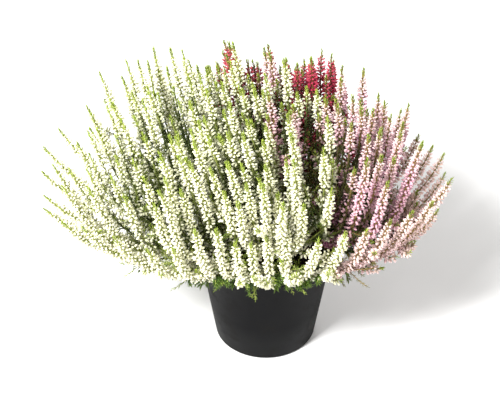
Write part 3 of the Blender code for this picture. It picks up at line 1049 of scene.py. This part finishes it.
def make_sprays(shapes):
    """Each spray as two pieces, its buds and its green growth, in place of its solid."""
    counts = dict.fromkeys(KINDS, 0)
    bud_looks = {name: bud_finish(name, kind) for name, kind in KINDS.items()}
    stem_looks = {name: stem_finish(name, kind) for name, kind in KINDS.items()}
    leaf_looks = {name: leaf_finish(name, kind) for name, kind in KINDS.items()}
    for number, (kind, spikes) in enumerate(grow()):
        counts[kind] += 1
        node = f"{kind}_spray_{counts[kind]:02d}"
        draw = np.random.default_rng(number)
        buds = Heap([bud_looks[kind]])
        greens = Heap([stem_looks[kind], leaf_looks[kind]])
        for spike in spikes:
            add_spike(greens, buds, shapes, spike, draw)
        for heap, part, slot in ((buds, "buds", f"{kind}_heather"), (greens, "greens", "foliage")):
            piece = heap.piece(f"{node}_{part}")
            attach(piece, "root")
            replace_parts(piece, node)


# Pot and soil


def wall_radius(height):
    """The outer radius of the pot's tapered wall at a height."""
    top = RIM_RADIUS - RIM_OVERHANG
    return BASE_RADIUS + (top - BASE_RADIUS) * height / (POT_HEIGHT - RIM_BAND)


def push_rings(radius, height, rings):
    """Extrudes the selected face from its radius and height through the rings' radii and heights."""
    for next_radius, next_height in rings:
        scale = next_radius / radius
        bpy.ops.mesh.extrude_region_move(TRANSFORM_OT_translate={"value": (0, 0, next_height - height)})
        bpy.ops.transform.resize(value=(scale, scale, 1), center_override=(0, 0, 0))
        radius, height = next_radius, next_height


def make_pot(look):
    """The pot as one shell: a tapered wall, a rim, a foot ring and a middle pad with drain holes."""
    deselect()
    band = POT_HEIGHT - RIM_BAND
    foot = BASE_RADIUS - BASE_CHAMFER
    start = {"radius": foot, "depth": BASE_CHAMFER, "location": (0, 0, BASE_CHAMFER / 2)}
    bpy.ops.mesh.primitive_cylinder_add(vertices=POT_SIDES, **start)
    pot = bpy.context.object
    pot.name = pot.data.name = "nursery_pot"
    bpy.ops.object.transform_apply(location=True)
    bpy.ops.object.mode_set(mode="EDIT")
    select(pot, lambda v: v.co.z > 0.5 * BASE_CHAMFER)
    wider = wall_radius(BASE_CHAMFER) / foot
    bpy.ops.transform.resize(value=(wider, wider, 1), center_override=(0, 0, 0))
    select(pot, lambda f: f.normal.z > 0.9, "faces")
    floor = FLOOR_LIFT + WALL
    wall_and_rim = (
        (wall_radius(0.4 * band), 0.4 * band),
        (wall_radius(band - 2 * RIM_CREASE), band - 2 * RIM_CREASE),
        (wall_radius(band) + RIM_CREASE, band),
        (RIM_RADIUS - 3 * RIM_CREASE, band + 2 * RIM_CREASE),
        (RIM_RADIUS, band + 6 * RIM_CREASE),
        (RIM_RADIUS, POT_HEIGHT - RIM_ROUND),
        (RIM_RADIUS - RIM_ROUND / 3, POT_HEIGHT - RIM_ROUND / 3),
        (RIM_RADIUS - RIM_ROUND, POT_HEIGHT),
        (RIM_RADIUS - WALL, POT_HEIGHT - RIM_CREASE),
        (RIM_RADIUS - 1.5 * WALL, band + WALL),
        (wall_radius(band) - WALL, band - 0.5 * WALL),
        (wall_radius(floor) - WALL, floor),
    )
    push_rings(wall_radius(BASE_CHAMFER), BASE_CHAMFER, wall_and_rim)
    select(pot, lambda f: f.normal.z < -0.9 and f.calc_center_median().z < 0.0001, "faces")
    foot_and_pad = (
        (foot - FOOT_WIDTH, 0),
        (foot - FOOT_WIDTH - FOOT_SLOPE, FLOOR_LIFT),
        (PAD_RADIUS + FOOT_SLOPE, FLOOR_LIFT),
        (PAD_RADIUS, 0),
    )
    push_rings(foot, 0, foot_and_pad)
    bpy.ops.object.mode_set(mode="OBJECT")
    drill_drains(pot, (PAD_RADIUS + foot - FOOT_WIDTH) / 2)
    deselect()
    pot.select_set(True)
    bpy.context.view_layer.objects.active = pot
    bpy.ops.object.shade_smooth_by_angle(angle=SHARP_EDGE)
    pot.data.materials.append(look)
    return pot


def drill_drains(pot, ring):
    """Cuts the round drain holes through the pot's floor."""
    drills = bpy.data.collections.new("drills")
    bpy.context.scene.collection.children.link(drills)
    for k in range(DRAIN_COUNT):
        turn = 2 * math.pi * k / DRAIN_COUNT
        deselect()
        place = (ring * math.cos(turn), ring * math.sin(turn), FLOOR_LIFT)
        size = {"radius": DRAIN_RADIUS, "depth": DRILL_DEPTH}
        bpy.ops.mesh.primitive_cylinder_add(vertices=DRAIN_SIDES, location=place, **size)
        drill = bpy.context.object
        bpy.context.scene.collection.objects.unlink(drill)
        drills.objects.link(drill)
    cut = pot.modifiers.new("drains", "BOOLEAN")
    cut.operand_type = "COLLECTION"
    cut.collection = drills
    deselect()
    bpy.context.view_layer.objects.active = pot
    bpy.ops.object.modifier_apply(modifier=cut.name)
    for drill in list(drills.objects):
        bpy.data.objects.remove(drill)
    bpy.data.collections.remove(drills)


def mound(x, y):
    """How far the peat rises or sinks at a place."""
    return MOUND_HEIGHT * noise.noise(Vector((x * MOUND_SCALE, y * MOUND_SCALE, 0)))


def make_soil(look):
    """The peat's surface, rough all over, with its sides down inside the pot."""
    deselect()
    edge = wall_radius(SOIL_TOP) - WALL - SOIL_CLEARANCE
    level = {"fill_type": "NGON", "location": (0, 0, SOIL_TOP)}
    bpy.ops.mesh.primitive_circle_add(vertices=SOIL_SIDES, radius=edge, **level)
    soil = bpy.context.object
    soil.name = soil.data.name = "peat"
    bpy.ops.object.transform_apply(location=True)
    bpy.ops.object.mode_set(mode="EDIT")
    for _ in range(SOIL_RINGS):
        bpy.ops.mesh.inset(thickness=edge / (SOIL_RINGS + 1))
    bpy.ops.mesh.poke()
    select(soil, lambda e: e.is_boundary, "edges")
    bpy.ops.mesh.extrude_region_move(TRANSFORM_OT_translate={"value": (0, 0, -SOIL_DEPTH)})
    bpy.ops.transform.resize(value=(SOIL_TAPER, SOIL_TAPER, 1), center_override=(0, 0, 0))
    bpy.ops.mesh.edge_face_add()
    bpy.ops.mesh.select_all(action="SELECT")
    bpy.ops.mesh.normals_make_consistent(inside=False)
    bpy.ops.object.mode_set(mode="OBJECT")
    for vertex in soil.data.vertices:
        if vertex.co.z > SOIL_TOP - 0.001:
            x, y = vertex.co.x, vertex.co.y
            spot = Vector((x, y, 0)) * CLOD_SCALE
            clods = noise.fractal(spot, CLOD_FALLOFF, CLOD_STEP, CLOD_LAYERS)
            vertex.co.z += mound(x, y) + CLOD_HEIGHT * clods
    soil.data.shade_smooth()
    soil.data.materials.append(look)
    return soil


def make_crumbs(shape, look):
    """Loose crumbs of peat on the soil, most of them small."""
    draw = np.random.default_rng(CRUMB_SEED)
    radius = CRUMB_REACH * np.sqrt(draw.uniform(0, 1, CRUMB_COUNT))
    turn = draw.uniform(0, 2 * np.pi, CRUMB_COUNT)
    x, y = radius * np.cos(turn), radius * np.sin(turn)
    heights = SOIL_TOP + np.array([mound(*place) for place in zip(x, y)]) + CRUMB_LIFT
    size = ramp(CRUMB_SIZE, draw.uniform(0, 1, CRUMB_COUNT) ** 3)[:, None]
    sizes = size * draw.uniform(*CRUMB_STRETCH, (CRUMB_COUNT, 3))
    ups = unit(draw.normal(0, 1, (CRUMB_COUNT, 3)))
    fronts = unit(draw.normal(0, 1, (CRUMB_COUNT, 3)))
    placed = standing(shape, np.stack([x, y, heights], axis=1), ups, fronts, sizes)
    heap = Heap([look])
    heap.add(shape, placed, 0, 0.0, 0.0, 0.0)
    return heap.piece("peat_crumbs")


# Stage, camera and light


def make_stage():
    """A wide level floor."""
    deselect()
    bpy.ops.mesh.primitive_plane_add(size=FLOOR_SIZE, location=(0, 0, 0))
    floor = bpy.context.object
    floor.name = "floor"
    bpy.ops.object.mode_set(mode="EDIT")
    bpy.ops.mesh.subdivide(number_cuts=3)
    bpy.ops.object.mode_set(mode="OBJECT")
    floor.data.materials.append(floor_finish())


def aimed(obj, place, target):
    obj.location = place
    obj.rotation_euler = (Vector(target) - Vector(place)).to_track_quat("-Z", "Y").to_euler()
    bpy.context.scene.collection.objects.link(obj)


def make_camera():
    target = Vector(VIEW_TARGET)
    back = Vector((0, -math.cos(VIEW_ELEVATION), math.sin(VIEW_ELEVATION)))
    data = bpy.data.cameras.new("camera")
    data.sensor_width = SENSOR
    data.lens = LENS
    data.clip_end = 50
    camera = bpy.data.objects.new("camera", data)
    aimed(camera, target + back * VIEW_DISTANCE, target)
    bpy.context.scene.camera = camera


def make_lights():
    """A strong light from the upper left, a weak broad one from the right and one from behind."""
    for name, place, size, watts in LIGHTS:
        data = bpy.data.lights.new(name, "AREA")
        data.size = size
        data.energy = watts
        aimed(bpy.data.objects.new(name, data), place, LIGHT_TARGET)
    world = bpy.data.worlds.new("studio")
    world.use_nodes = True
    background = world.node_tree.nodes["Background"]
    background.inputs["Color"].default_value = (*WORLD_COLOUR, 1)
    background.inputs["Strength"].default_value = WORLD_STRENGTH
    bpy.context.scene.world = world
    bpy.context.scene.view_settings.view_transform = "Standard"


def main():
    shapes = {
        "bud": bud_shape(),
        "leaf": leaf_shape(),
        "stem": stem_shape(sides=5, rings=16),
        "twig": stem_shape(sides=4, rings=5),
    }
    crumb = crumb_shape()
    make_sprays(shapes)
    pot = make_pot(pot_finish())
    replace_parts(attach(pot, "root"), "pot")
    soil = make_soil(soil_finish("peat_mass", (0.020, 0.013, 0.008), (0.060, 0.038, 0.022)))
    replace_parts(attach(soil, "root"), "soil")
    crumbs = make_crumbs(crumb, soil_finish("peat_crumb", (0.030, 0.019, 0.012), (0.095, 0.060, 0.034)))
    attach(crumbs, "root")
    make_stage()
    make_camera()
    make_lights()


main()
